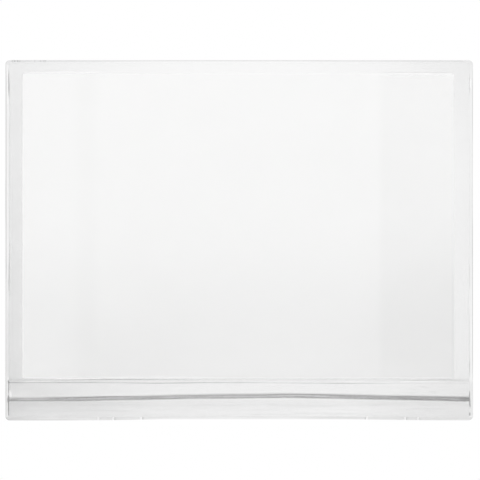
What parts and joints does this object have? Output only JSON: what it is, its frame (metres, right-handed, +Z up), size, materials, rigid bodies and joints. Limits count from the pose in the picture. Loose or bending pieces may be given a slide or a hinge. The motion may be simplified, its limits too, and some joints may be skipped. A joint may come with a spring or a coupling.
{
  "type": "magnetic display pocket",
  "caption": "Landscape clear-film display pocket for an A4 card, with magnetic strips on its back and a lipped mouth near its lower edge.",
  "frame": {"origin": "middle of the pocket's outline, in the plane of the steel board that the magnetic strips lie on", "axes": "+X to the right along the long side, +Z up, +Y into the board; the pocket lies in front of the board and its front faces -Y"},
  "size_m": [0.3222, 0.0054, 0.248],
  "materials": {
    "clear_film": "clear, glossy",
    "welded_film": "clear, pressed",
    "white_card": "matte",
    "magnetic_rubber": "matte",
    "adhesive_tape": "matte"
  },
  "bodies": {
    "pocket": {"back_film": "clear_film", "front_film": "clear_film", "bottom_strip": "clear_film", "ledge_weld": "welded_film", "rim_weld": "welded_film", "magnet_strip_left": "magnetic_rubber", "magnet_strip_right": "magnetic_rubber", "adhesive_tape_left": "adhesive_tape", "adhesive_tape_right": "adhesive_tape"},
    "card": {"insert_card": "white_card"}
  },
  "joints": [
    {"name": "card_slide", "type": "slide", "parent": "pocket", "child": "card", "axis": [0, 0, -1], "range_m": [0, 0.24]}
  ]
}
